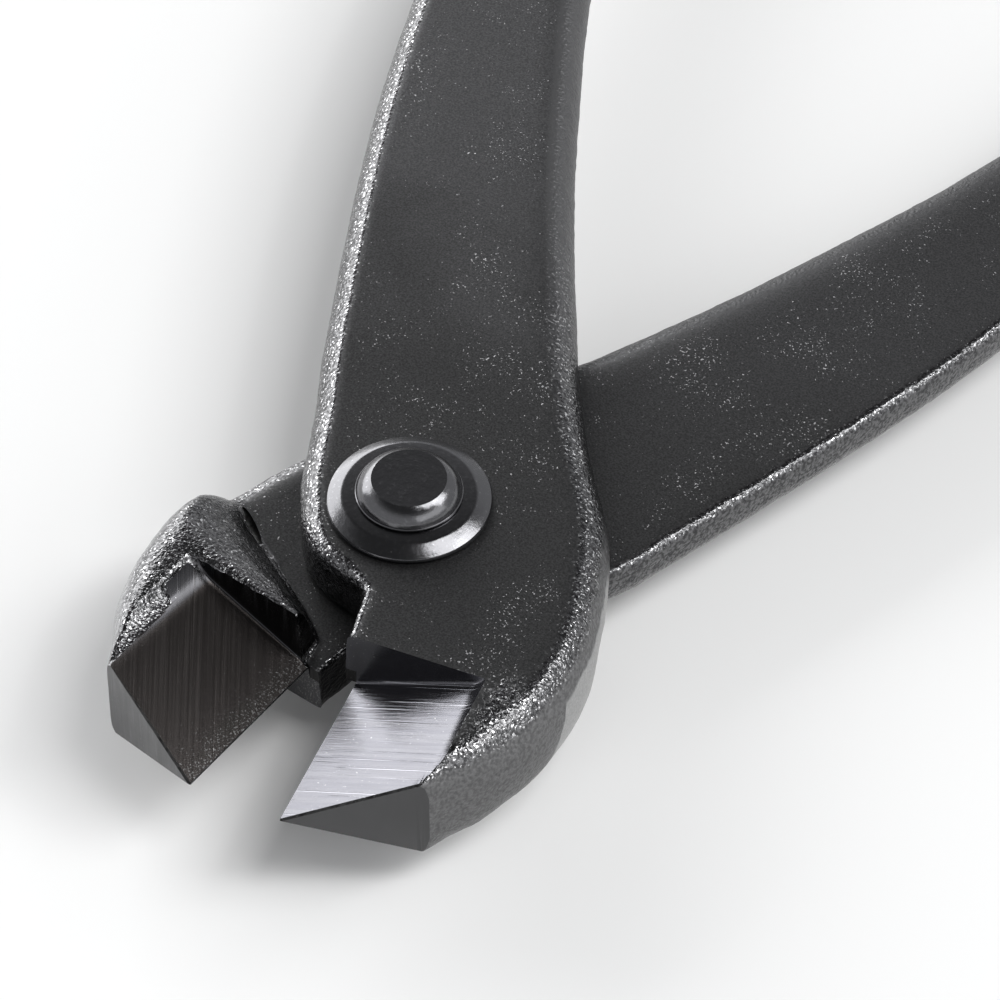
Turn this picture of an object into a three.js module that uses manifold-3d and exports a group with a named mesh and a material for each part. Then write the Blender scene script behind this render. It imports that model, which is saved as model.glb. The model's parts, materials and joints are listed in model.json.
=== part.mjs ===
// Bonsai wire cutter: two forged steel levers, lapped at the head and held by one riveted pivot.
// Millimetres, +Z up. The tool lies on the foot of its rivet with the jaws toward -Y and the
// handles toward +Y, opened as far as in the photograph. The origin is on the pivot axis, at the
// level that the rivet stands on.

import * as THREE from 'three';
import { mergeVertices } from 'three/addons/utils/BufferGeometryUtils.js';
import Module from 'manifold-3d';

const wasm = await Module();
wasm.setup();

// Opening of the two levers at rest, between the cutting edges
const openingAngle = THREE.MathUtils.degToRad(14.6);

// Levers at the lap
const leverThickness = 5;
const lapGap = 0.2;
const meetingOffset = 1.6;
const headRadius = 8.6;
const headSwell = 0.8;
const headArcStart = Math.PI + THREE.MathUtils.degToRad(22);

// Jaws, from the pivot axis toward the tips
const jawReach = 29.5;
const jawWidth = 16.9;
const backWallReach = 14.4;
const backWallLean = 0.45;
const stepOffset = 0.65;
const throatOffset = 1.35;
const throatReach = 9.3;
const throatRun = 2.4;
const stepClearance = 0.25;
const edgeSetback = 0.1;
const edgeLand = 0.3;
const bevelRise = 3.9;
const bevelRun = 9.5;

// Shoulder that each jaw keeps beyond the other lever's head
const shoulderReach = 13.4;
const shoulderStart = 0.95;
const crestReach = 14.3;

// Handles, from the pivot axis to their ends
const handleReach = 170;
const handleBow = 26.6;

// Edge rounding, each as the width taken from the face and the depth taken from the wall
const stepRound = { width: 0.45, depth: 0.45 };
const lapRound = { width: 0.08, depth: 0.08 };
const headRound = { width: 1.3, depth: 1.4 };
const jawRound = { width: 2.7, depth: 4.4 };
const tipRound = { width: 1.2, depth: 2.2 };
const nearTipRound = { width: 2.1, depth: 3.4 };
const innerRound = { width: 2.7, depth: 3.3 };
const outerRound = { width: 1.7, depth: 1.8 };
const endRound = { width: 1.8, depth: 1.8 };
const innerLapRound = { width: 1.8, depth: 1.1 };
const outerLapRound = { width: 0.9, depth: 0.8 };

// Pivot rivet and its washers
const shankRadius = 3;
const runningClearance = 0.1;
const seatGap = 0.05;
const headBaseRadius = 4.25;
const headFlatRadius = 3;
const headRimHeight = 0.3;
const headHeight = 1.6;
const washerRadius = 6.5;
const washerFlatRadius = 5.3;
const washerRimHeight = 0.35;
const washerThickness = 1.1;

// Overrun of every cut past the face it leaves
const overrun = 3;

// Fineness of the curved forms
const splineSteps = 2;
const arcSteps = 9;
const topRoundSteps = 4;
const lapRoundSteps = 2;
const turnSegments = 48;
const filletSteps = 4;
const bevelSteps = 4;

// What differs between the two hand-ground levers
const upperGrind = {
  holeOffset: -meetingOffset,
  endSlant: THREE.MathUtils.degToRad(23.6),
  pocketWidth: 10.8,
  pocketFillet: 0.7,
  innerRise: 3.9,
  handleSet: 0,
  tipSet: 0,
};
const lowerGrind = {
  holeOffset: meetingOffset,
  endSlant: THREE.MathUtils.degToRad(16.8),
  pocketWidth: 11.9,
  pocketFillet: 1.3,
  innerRise: 3.35,
  handleSet: 2.8,
  tipSet: 0.9,
};

// Outline of a lever in its own frame: x from the line where the jaws meet, y along the tool,
// z from the lap plane. The jaw lies toward +X and -Y, the handle toward -X and +Y.

// Outer edge of the jaw's tip, in shares of the jaw's width and reach, from past the tip upward
const jawTipShares = [
  [0.22, -1.12],
  [0.49, -0.956],
  [0.6, -0.864],
];

// Where the tip turns into the side of the jaw, in the same shares
const jawTurnShares = [
  [0.695, -0.793],
  [0.79, -0.725],
];

// Outer edge of the jaw from there on, in the same shares
const jawOuterShares = [
  [0.87, -0.651],
  [0.941, -0.556],
  [0.982, -0.447],
  [1, -0.332],
  [0.985, -0.21],
  [0.938, -0.075],
  [0.875, 0.047],
];

// Side of the head above the jaw, in the same shares
const headSideShares = [
  [0.798, 0.153],
  [0.675, 0.275],
];

// Inner side of the neck, in shares of the handle's bow and reach
const innerNeckShares = [
  [0.335, 0.0705],
  [0.188, 0.114],
];

// Inner edge of the handle, in the same shares, from the neck to the end
const innerEdgeShares = [
  [0.09, 0.15],
  [-0.015, 0.188],
  [-0.135, 0.235],
  [-0.267, 0.294],
  [-0.391, 0.353],
  [-0.496, 0.424],
  [-0.575, 0.518],
  [-0.586, 0.618],
  [-0.541, 0.735],
  [-0.455, 0.853],
  [-0.361, 0.962],
];

// Rounded end of the handle, in the same shares
const handleEndShares = [
  [-0.396, 0.985],
  [-0.48, 0.998],
  [-0.585, 1],
  [-0.69, 0.994],
  [-0.757, 0.974],
];

// Outer edge of the handle, in the same shares, from the end back to the neck
const outerEdgeShares = [
  [-0.797, 0.935],
  [-0.86, 0.85],
  [-0.925, 0.75],
  [-0.978, 0.647],
  [-1, 0.529],
  [-0.989, 0.441],
  [-0.947, 0.353],
  [-0.887, 0.287],
  [-0.816, 0.229],
  [-0.733, 0.176],
  [-0.643, 0.1235],
  [-0.553, 0.0735],
];

// Outer side of the neck, in the same shares
const outerNeckShares = [[-0.487, 0.0425]];

// Toe of the shoulder on the lap plane, in shares of the jaw's width and the shoulder's reach,
// from the outer side of the jaw to the throat
const shoulderToeShares = [
  [1.3, -0.27],
  [1, -0.335],
  [0.875, -0.38],
  [0.765, -0.485],
  [0.586, -0.59],
  [0.408, -0.694],
  [0.266, -0.784],
  [0.154, -0.866],
  [0.083, -0.925],
];

// Crest of the shoulder, where it reaches the full thickness, in shares of the jaw's width and
// the crest's reach, point by point above the toe
const shoulderCrestShares = [
  [1.3, -0.76],
  [1, -0.78],
  [0.875, -0.82],
  [0.765, -0.87],
  [0.586, -0.92],
  [0.408, -0.955],
  [0.266, -0.975],
  [0.154, -0.985],
  [0.083, -0.992],
];

// How the shoulder swells from toe to crest, as shares of the way across and of the way up
const shoulderSwellShares = [
  [0, 0],
  [0.1, 0.2],
  [0.3, 0.5],
  [0.6, 0.8],
  [1, 1],
];

const forgedSteel = new THREE.MeshStandardMaterial({ color: 0x303033, roughness: 0.5, metalness: 0.8 });
const polishedBlack = new THREE.MeshStandardMaterial({ color: 0x1b1b1d, roughness: 0.22, metalness: 0.85 });

// A point of an outline, with the rounding of its outer face and of its lap face
function edgePoint(x, y, outer, lap) {
  return { x, y, outer, lap };
}

// Points of a share table, at their real size, all with the same rounding
function edgePoints(shares, width, reach, outer, lap) {
  return shares.map(([across, along]) => edgePoint(across * width, along * reach, outer, lap));
}

// A smooth run through outline points, whose rounding changes as smoothly as its place
function smoothRun(points) {
  const place = new THREE.SplineCurve(points.map((p) => new THREE.Vector2(p.x, p.y)));
  const outer = new THREE.SplineCurve(points.map((p) => new THREE.Vector2(p.outer.width, p.outer.depth)));
  const lap = new THREE.SplineCurve(points.map((p) => new THREE.Vector2(p.lap.width, p.lap.depth)));
  const count = (points.length - 1) * splineSteps;
  const run = [];
  for (let i = 0; i <= count; i += 1) {
    const at = place.getPoint(i / count);
    const outerAt = outer.getPoint(i / count);
    const lapAt = lap.getPoint(i / count);
    run.push(
      edgePoint(
        at.x,
        at.y,
        { width: outerAt.x, depth: outerAt.y },
        { width: lapAt.x, depth: lapAt.y },
      ),
    );
  }
  return run;
}

// The lever's head where it shows beside the rivet: an arc round the pivot, toward the throat
function headArc(grind) {
  const finish = 2 * Math.PI - Math.acos((-throatOffset - throatRun - grind.holeOffset) / headRadius);
  const arc = [];
  for (let i = 0; i <= arcSteps; i += 1) {
    const angle = THREE.MathUtils.lerp(headArcStart, finish, i / arcSteps);
    const x = grind.holeOffset + headRadius * Math.cos(angle);
    arc.push(edgePoint(x, headRadius * Math.sin(angle), headRound, lapRound));
  }
  return arc;
}

// The long side of a lever's outline: round the jaw, along the handle and back to the head
function longSide(grind) {
  const jaw = (shares, outer) => edgePoints(shares, jawWidth, jawReach, outer, lapRound);
  const handle = (shares, outer, lap) => edgePoints(shares, handleBow, handleReach, outer, lap);
  const run = smoothRun([
    ...jaw(jawTipShares, tipRound),
    ...jaw(jawTurnShares, nearTipRound),
    ...jaw(jawOuterShares, jawRound),
    ...jaw(headSideShares, innerRound),
    ...handle(innerNeckShares, innerRound, lapRound),
    ...handle(innerEdgeShares, innerRound, innerLapRound),
    ...handle(handleEndShares, endRound, innerLapRound),
    ...handle(outerEdgeShares, outerRound, outerLapRound),
    ...handle(outerNeckShares, outerRound, lapRound),
    edgePoint(grind.holeOffset - headRadius - headSwell, 0, headRound, lapRound),
  ]);
  return run.map((point) => setEnds(point, grind));
}

// The closed outline of a lever, counterclockwise from the throat
function leverOutline(grind) {
  const step = [
    edgePoint(-throatOffset, -throatReach, stepRound, lapRound),
    edgePoint(-stepOffset, -backWallReach, stepRound, lapRound),
    edgePoint(-stepOffset, -jawReach - overrun, stepRound, lapRound),
  ];
  return [...step, ...longSide(grind), ...headArc(grind)];
}

// Moves a point by its share of how far this lever's handle is set inward and its tip outward
function setEnds(point, grind) {
  const alongHandle = Math.max(point.y, 0) / handleReach;
  const alongJaw = Math.max(-point.y - backWallReach, 0) / (jawReach - backWallReach);
  return { ...point, x: point.x + grind.handleSet * alongHandle + grind.tipSet * alongJaw };
}

// Outward direction of the outline at one of its points
function outwardAt(outline, index) {
  const before = outline[(index + outline.length - 1) % outline.length];
  const after = outline[(index + 1) % outline.length];
  return new THREE.Vector2(after.y - before.y, before.x - after.x).normalize();
}

// Rings of a rounded slab: each ring says how much of the rounding it has taken, in and down
function roundedRings(bottom, top, bottomSide, bottomSteps) {
  const rings = [];
  for (let i = 0; i <= bottomSteps; i += 1) {
    const turn = (i / bottomSteps) * (Math.PI / 2);
    const taken = { inward: 1 - Math.sin(turn), up: 1 - Math.cos(turn) };
    rings.push({ side: bottomSide, level: bottom, sign: 1, ...taken });
  }
  for (let i = 0; i <= topRoundSteps; i += 1) {
    const turn = (i / topRoundSteps) * (Math.PI / 2);
    const taken = { inward: 1 - Math.cos(turn), up: 1 - Math.sin(turn) };
    rings.push({ side: 'outer', level: top, sign: -1, ...taken });
  }
  return rings;
}

// A closed solid from an outline and its rings
function loftSolid(outline, rings) {
  const outward = outline.map((point, index) => outwardAt(outline, index));
  const positions = [];
  for (const ring of rings) {
    outline.forEach((point, index) => {
      const round = point[ring.side];
      const inset = round.width * ring.inward;
      positions.push(point.x - outward[index].x * inset, point.y - outward[index].y * inset);
      positions.push(ring.level + ring.sign * round.depth * ring.up);
    });
  }
  return stackSolid(positions, rings.length);
}

// A closed solid from stacked rings of as many points each, lowest ring first, counterclockwise
function stackSolid(positions, ringCount) {
  const count = positions.length / (3 * ringCount);
  const index = [];
  for (let ring = 0; ring < ringCount - 1; ring += 1) {
    for (let i = 0; i < count; i += 1) {
      const a = ring * count + i;
      const b = ring * count + ((i + 1) % count);
      index.push(a, b, b + count, a, b + count, a + count);
    }
  }
  const ringPoints = (ring) =>
    Array.from({ length: count }, (unused, i) => {
      const at = (ring * count + i) * 3;
      return new THREE.Vector2(positions[at], positions[at + 1]);
    });
  const last = (ringCount - 1) * count;
  for (const [a, b, c] of THREE.ShapeUtils.triangulateShape(ringPoints(0), [])) {
    index.push(a, c, b);
  }
  for (const [a, b, c] of THREE.ShapeUtils.triangulateShape(ringPoints(ringCount - 1), [])) {
    index.push(last + a, last + b, last + c);
  }
  const geometry = new THREE.BufferGeometry();
  geometry.setAttribute('position', new THREE.Float32BufferAttribute(positions, 3));
  geometry.setIndex(index);
  return geometry;
}

// A three.js geometry as a solid that can be cut and joined
function toSolid(source) {
  let geometry = source.clone();
  geometry.deleteAttribute('normal');
  geometry.deleteAttribute('uv');
  geometry = mergeVertices(geometry);
  return new wasm.Manifold(
    new wasm.Mesh({
      numProp: 3,
      vertProperties: new Float32Array(geometry.attributes.position.array),
      triVerts: new Uint32Array(geometry.index.array),
    }),
  );
}

// A cut or joined solid as a three.js geometry again
function toGeometry(solid) {
  const mesh = solid.getMesh();
  const geometry = new THREE.BufferGeometry();
  geometry.setAttribute('position', new THREE.BufferAttribute(mesh.vertProperties, 3));
  geometry.setIndex(new THREE.BufferAttribute(mesh.triVerts, 1));
  geometry.computeVertexNormals();
  return geometry;
}

// The room that the full-thickness jaw takes below the lap plane: everything beyond the shoulder,
// which swells from its toe on the lap plane to its crest at the far face
function jawRoom() {
  const farSide = 2 * jawWidth;
  const farTip = -jawReach - 2 * overrun;
  const edgeStart = -backWallReach - backWallLean;
  const toe = shoulderToeShares.map(([across, along]) => [across * jawWidth, along * shoulderReach]);
  const crest = shoulderCrestShares.map(([across, along]) => [across * jawWidth, along * crestReach]);
  const rest = [
    [shoulderStart, edgeStart],
    [edgeSetback, edgeStart - stepClearance],
    [-stepOffset - overrun, edgeStart - stepClearance],
    [-stepOffset - overrun, farTip],
    [farSide, farTip],
  ];
  const levels = shoulderSwellShares.map(([across, up]) => ({
    across,
    z: -lapGap / 2 - up * (leverThickness - lapGap / 2),
  }));
  const rings = [
    { across: 1, z: -leverThickness - overrun },
    ...levels.reverse(),
    { across: 0, z: lapGap / 2 + lapRound.depth * 2 },
  ];
  const positions = [];
  for (const { across, z } of rings) {
    const slope = toe.map(([x, y], i) => [
      THREE.MathUtils.lerp(x, crest[i][0], across),
      THREE.MathUtils.lerp(y, crest[i][1], across),
    ]);
    for (const [x, y] of [...slope, ...rest]) {
      positions.push(x, y, z);
    }
  }
  return toSolid(stackSolid(positions, rings.length));
}

// One ground pocket: it leaves the bevel as its floor, a leaning back wall and a filleted rim.
// side is 1 on the outer face and -1 on the far face.
function bevelPocket(grind, side) {
  const start = edgeSetback - stepOffset - overrun;
  const top = leverThickness + overrun;
  const length = jawReach + overrun - backWallReach;
  const positions = [];
  for (let i = 0; i <= bevelSteps; i += 1) {
    const along = i / bevelSteps;
    const rise = THREE.MathUtils.lerp(bevelRise, grind.innerRise, along) / bevelRun;
    const floorAt = (x) => edgeLand / 2 + (x - edgeSetback) * rise;
    const rim = grind.pocketWidth;
    const fillet = new THREE.QuadraticBezierCurve(
      new THREE.Vector2(rim - grind.pocketFillet, floorAt(rim - grind.pocketFillet)),
      new THREE.Vector2(rim, floorAt(rim)),
      new THREE.Vector2(rim, floorAt(rim) + grind.pocketFillet),
    );
    const section = [
      new THREE.Vector2(start, floorAt(start)),
      ...fillet.getPoints(filletSteps),
      new THREE.Vector2(rim, top),
      new THREE.Vector2(start, top),
    ];
    for (const { x, y: height } of section) {
      const lean = i === bevelSteps ? backWallLean * (1 - height / leverThickness) : 0;
      positions.push(x, -backWallReach - length * (1 - along) - lean, side * height);
    }
  }
  return toSolid(sectionSolid(positions, bevelSteps + 1, side));
}

// A closed solid from upright sections that follow each other along +Y, each counterclockwise
// as seen from the tip; side -1 says that the sections are upside down
function sectionSolid(positions, sectionCount, side) {
  const count = positions.length / (3 * sectionCount);
  const index = [];
  const add = (a, b, c) => (side > 0 ? index.push(a, b, c) : index.push(a, c, b));
  for (let section = 0; section < sectionCount - 1; section += 1) {
    for (let i = 0; i < count; i += 1) {
      const a = section * count + i;
      const b = section * count + ((i + 1) % count);
      add(a, b + count, b);
      add(a, a + count, b + count);
    }
  }
  const outline = Array.from({ length: count }, (unused, i) => {
    return new THREE.Vector2(positions[i * 3], side * positions[i * 3 + 2]);
  });
  const last = (sectionCount - 1) * count;
  for (const [a, b, c] of THREE.ShapeUtils.triangulateShape(outline, [])) {
    add(a, b, c);
    add(last + a, last + c, last + b);
  }
  const geometry = new THREE.BufferGeometry();
  geometry.setAttribute('position', new THREE.Float32BufferAttribute(positions, 3));
  geometry.setIndex(index);
  return geometry;
}

// The block that is ground off to make the slanted end face
function endCut(grind) {
  const size = 2 * jawWidth;
  const block = new THREE.BoxGeometry(2 * size, size, 2 * size);
  block.translate(0, -size / 2, 0);
  block.rotateZ(grind.endSlant);
  block.translate(edgeSetback, -jawReach, 0);
  return toSolid(block);
}

// The block that is taken off along the cutting edge, so that a thin land is left
function edgeCut() {
  const length = jawReach + overrun - backWallReach - backWallLean;
  const block = new THREE.BoxGeometry(overrun, length, 2 * (leverThickness + overrun));
  block.translate(edgeSetback - overrun / 2, -backWallReach - backWallLean - length / 2, 0);
  return toSolid(block);
}

// The hole for the rivet's shank
function pivotHole(grind) {
  const hole = new THREE.CylinderGeometry(
    shankRadius + runningClearance,
    shankRadius + runningClearance,
    2 * (leverThickness + overrun),
    turnSegments,
  );
  hole.rotateX(Math.PI / 2);
  hole.translate(grind.holeOffset, 0, 0);
  return toSolid(hole);
}

// One lever: a rounded slab above the lap plane, joined to a jaw of the full thickness, then ground
function leverGeometry(grind) {
  const outline = leverOutline(grind);
  const slab = loftSolid(outline, roundedRings(lapGap / 2, leverThickness, 'lap', lapRoundSteps));
  const block = loftSolid(outline, roundedRings(-leverThickness, leverThickness, 'outer', topRoundSteps));
  const jaw = toSolid(block).intersect(jawRoom());
  const forging = toSolid(slab).add(jaw);
  const ground = forging
    .subtract(edgeCut())
    .subtract(bevelPocket(grind, 1))
    .subtract(bevelPocket(grind, -1))
    .subtract(endCut(grind));
  return toGeometry(ground.subtract(pivotHole(grind)));
}

// The rivet: a plain shank with a low, flat-topped head at each end
function rivetGeometry() {
  const headSeat = leverThickness + washerThickness + 2 * seatGap;
  const shoulder = new THREE.QuadraticBezierCurve(
    new THREE.Vector2(headBaseRadius, headSeat + headRimHeight),
    new THREE.Vector2(headBaseRadius, headSeat + headHeight),
    new THREE.Vector2(headFlatRadius, headSeat + headHeight),
  );
  const upperHalf = [
    new THREE.Vector2(shankRadius, headSeat),
    new THREE.Vector2(headBaseRadius, headSeat),
    ...shoulder.getPoints(topRoundSteps + 1),
    new THREE.Vector2(0, headSeat + headHeight),
  ];
  const lowerHalf = upperHalf.map((p) => new THREE.Vector2(p.x, -p.y)).reverse();
  const rivet = new THREE.LatheGeometry([...lowerHalf, ...upperHalf], turnSegments);
  rivet.rotateX(Math.PI / 2);
  return rivet;
}

// A turned washer with a chamfered rim, lying on z = 0
function washerGeometry() {
  const bore = shankRadius + runningClearance;
  const profile = [
    new THREE.Vector2(bore, 0),
    new THREE.Vector2(washerRadius, 0),
    new THREE.Vector2(washerRadius, washerRimHeight),
    new THREE.Vector2(washerFlatRadius, washerThickness),
    new THREE.Vector2(bore, washerThickness),
    new THREE.Vector2(bore, 0),
  ];
  const washer = new THREE.LatheGeometry(profile, turnSegments);
  washer.rotateX(Math.PI / 2);
  return washer;
}

function named(name, geometry, material) {
  const mesh = new THREE.Mesh(geometry, material.clone());
  mesh.name = name;
  return mesh;
}

// The upper lever, turned open about the pivot
function upperLever() {
  const lever = named('upper_lever', leverGeometry(upperGrind), forgedSteel);
  lever.position.x = meetingOffset;
  const turned = new THREE.Group();
  turned.rotation.z = openingAngle / 2;
  turned.add(lever);
  return turned;
}

// The lower lever, the same forging turned over, opened the other way
function lowerLever() {
  const lever = named('lower_lever', leverGeometry(lowerGrind), forgedSteel);
  lever.rotation.y = Math.PI;
  lever.position.x = meetingOffset;
  const turned = new THREE.Group();
  turned.rotation.z = -openingAngle / 2;
  turned.add(lever);
  return turned;
}

// The rivet and the washer under each of its heads
function pivotParts() {
  const parts = new THREE.Group();
  parts.add(named('pivot_rivet', rivetGeometry(), polishedBlack));
  const upperWasher = named('upper_washer', washerGeometry(), polishedBlack);
  upperWasher.position.z = leverThickness + seatGap;
  parts.add(upperWasher);
  const lowerWasher = named('lower_washer', washerGeometry(), polishedBlack);
  lowerWasher.rotation.x = Math.PI;
  lowerWasher.position.z = -leverThickness - seatGap;
  parts.add(lowerWasher);
  return parts;
}

const tool = new THREE.Group();
tool.position.z = leverThickness + washerThickness + 2 * seatGap + headHeight;
tool.add(upperLever());
tool.add(lowerLever());
tool.add(pivotParts());

export default tool;
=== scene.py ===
"""The looks of a bonsai wire cutter: two forged levers on a riveted pivot, on a pale floor.

The levers are made as the real ones are. Each is forged with rough, rounded edges first, and its
bevels, back walls and end faces are then ground into it. The rivet and its washers are turned.
Lengths are in millimetres unless a name says otherwise, and MM turns them into metres.
"""

import json
import logging
import math
from dataclasses import dataclass, field
from enum import Enum

import bpy
from mathutils import Matrix, Vector

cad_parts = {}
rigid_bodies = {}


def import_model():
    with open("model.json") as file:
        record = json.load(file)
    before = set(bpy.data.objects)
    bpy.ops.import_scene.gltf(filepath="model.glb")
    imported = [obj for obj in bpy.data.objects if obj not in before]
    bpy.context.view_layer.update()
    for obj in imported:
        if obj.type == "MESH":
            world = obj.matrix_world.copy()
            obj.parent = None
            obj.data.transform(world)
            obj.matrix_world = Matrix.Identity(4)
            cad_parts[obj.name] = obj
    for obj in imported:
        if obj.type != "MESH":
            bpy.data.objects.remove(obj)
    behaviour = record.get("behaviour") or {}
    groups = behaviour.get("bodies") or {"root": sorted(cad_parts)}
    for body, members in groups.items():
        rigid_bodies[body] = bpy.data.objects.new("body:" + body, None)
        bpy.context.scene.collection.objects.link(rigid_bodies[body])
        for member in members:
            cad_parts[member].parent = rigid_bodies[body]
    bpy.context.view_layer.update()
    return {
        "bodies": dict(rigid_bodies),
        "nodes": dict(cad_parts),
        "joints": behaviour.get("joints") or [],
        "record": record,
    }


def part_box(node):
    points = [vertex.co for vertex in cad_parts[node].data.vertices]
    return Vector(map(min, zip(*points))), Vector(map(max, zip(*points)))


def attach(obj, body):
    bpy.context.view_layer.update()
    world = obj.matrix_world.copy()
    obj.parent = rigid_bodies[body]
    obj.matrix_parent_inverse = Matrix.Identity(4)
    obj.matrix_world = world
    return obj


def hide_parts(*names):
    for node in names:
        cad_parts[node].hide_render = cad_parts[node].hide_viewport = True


MM = 0.001
LOG = logging.getLogger("cutter")

Socket = bpy.types.NodeSocket
Input = Socket | float | tuple[float, ...]


class Face(Enum):
    """Which way the outer face of a lever looks, as a factor on its local height."""

    UP = 1
    DOWN = -1


class Cut(Enum):
    """The side of a boolean that a tool body works on."""

    REMOVE = "DIFFERENCE"
    ADD = "UNION"


class Streaks(Enum):
    """The way that grinding marks run on a ground face, as the axis they keep to."""

    ACROSS = "X"
    UPRIGHT = "Z"


class Bench:
    """The modelling operators that every piece uses, with the selection kept in order."""

    @staticmethod
    def clear() -> None:
        """Deselects everything."""
        bpy.ops.object.select_all(action="DESELECT")

    @staticmethod
    def hold(piece: bpy.types.Object) -> None:
        """Makes a piece the only selected and the active object."""
        Bench.clear()
        piece.select_set(True)
        bpy.context.view_layer.objects.active = piece

    @staticmethod
    def copy(source: bpy.types.Object, name: str) -> bpy.types.Object:
        """Copies an object with a mesh of its own.

        Args:
            source: The object to copy.
            name: The name of the copy.

        Returns:
            The copy, which rides on nothing and stays selected and active.
        """
        Bench.hold(source)
        bpy.ops.object.duplicate()
        piece = bpy.context.object
        piece.name = name
        piece.data.name = name
        piece.parent = None
        for key in list(piece.keys()):
            del piece[key]
        return piece

    @staticmethod
    def edit(piece: bpy.types.Object, mode: str = "VERT") -> None:
        """Opens a piece in edit mode with nothing selected.

        Args:
            piece: The piece to edit.
            mode: What is picked: VERT, EDGE or FACE.
        """
        Bench.hold(piece)
        bpy.ops.object.mode_set(mode="EDIT")
        bpy.ops.mesh.select_mode(type=mode)
        bpy.ops.mesh.select_all(action="DESELECT")
        bpy.ops.object.mode_set(mode="OBJECT")

    @staticmethod
    def modify(piece: bpy.types.Object, kind: str, **settings: object) -> None:
        """Adds one modifier to a piece and applies it.

        Args:
            piece: The piece to change.
            kind: The modifier's type.
            **settings: The modifier's own settings.
        """
        Bench.hold(piece)
        modifier = piece.modifiers.new(kind.lower(), kind)
        for name, value in settings.items():
            setattr(modifier, name, value)
        bpy.ops.object.modifier_apply(modifier=modifier.name)

    @staticmethod
    def boolean(piece: bpy.types.Object, tool: bpy.types.Object, cut: Cut) -> None:
        """Cuts a tool body out of a piece or joins it on, then throws the tool body away.

        Args:
            piece: The piece to work on.
            tool: The tool body, whose material goes onto the faces that it leaves.
            cut: Whether the tool removes or adds.
        """
        Bench.modify(
            piece,
            "BOOLEAN",
            operation=cut.value,
            object=tool,
            solver="MANIFOLD",
            material_mode="TRANSFER",
        )
        bpy.data.objects.remove(tool)

    @staticmethod
    def face_outward(piece: bpy.types.Object) -> None:
        """Merges a piece's doubles and turns its faces outward."""
        Bench.edit(piece)
        bpy.ops.object.mode_set(mode="EDIT")
        bpy.ops.mesh.select_all(action="SELECT")
        bpy.ops.mesh.remove_doubles(threshold=MM * 0.001)
        bpy.ops.mesh.normals_make_consistent(inside=False)
        bpy.ops.object.mode_set(mode="OBJECT")

    @staticmethod
    def block(name: str, corners: dict[tuple[int, int, int], Vector]) -> bpy.types.Object:
        """Makes a tool body from a cube by moving each of its corners.

        Args:
            name: The name of the body.
            corners: Where each corner goes, by its signs along x, y and z.

        Returns:
            The body, its faces outward.
        """
        bpy.ops.mesh.primitive_cube_add(size=2)
        body = bpy.context.object
        body.name = name
        for vertex in body.data.vertices:
            signs = tuple(int(math.copysign(1, value)) for value in vertex.co)
            vertex.co = corners[signs] * MM
        Bench.face_outward(body)
        return body

    @staticmethod
    def round_edges(body: bpy.types.Object, picks: list[tuple[Vector, Vector]], radius: float, steps: int) -> None:
        """Rounds the edges of a body that run between pairs of places.

        Args:
            body: The body to round.
            picks: The two ends of each edge.
            radius: The offset of the rounding.
            steps: How many segments it has.
        """
        Bench.edit(body, "EDGE")
        near = MM * 0.01
        for edge in body.data.edges:
            ends = [body.data.vertices[index].co for index in edge.vertices]
            for first, second in picks:
                there = (ends[0] - first * MM).length < near and (ends[1] - second * MM).length < near
                back = (ends[1] - first * MM).length < near and (ends[0] - second * MM).length < near
                if there or back:
                    edge.select = True
        bpy.ops.object.mode_set(mode="EDIT")
        bpy.ops.mesh.bevel(offset=radius * MM, segments=steps, affect="EDGES")
        bpy.ops.object.mode_set(mode="OBJECT")

    @staticmethod
    def place(body: bpy.types.Object, matrix: Matrix) -> None:
        """Moves a body's mesh by a matrix and leaves its object at the origin."""
        body.data.transform(matrix @ body.matrix_world)
        body.matrix_world = Matrix.Identity(4)
        if matrix.determinant() < 0:
            Bench.face_outward(body)

    @staticmethod
    def settle(piece: bpy.types.Object, angle: float) -> None:
        """Smooths a piece's shading, apart from edges sharper than an angle in degrees."""
        Bench.hold(piece)
        bpy.ops.object.shade_smooth_by_angle(angle=math.radians(angle))


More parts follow.
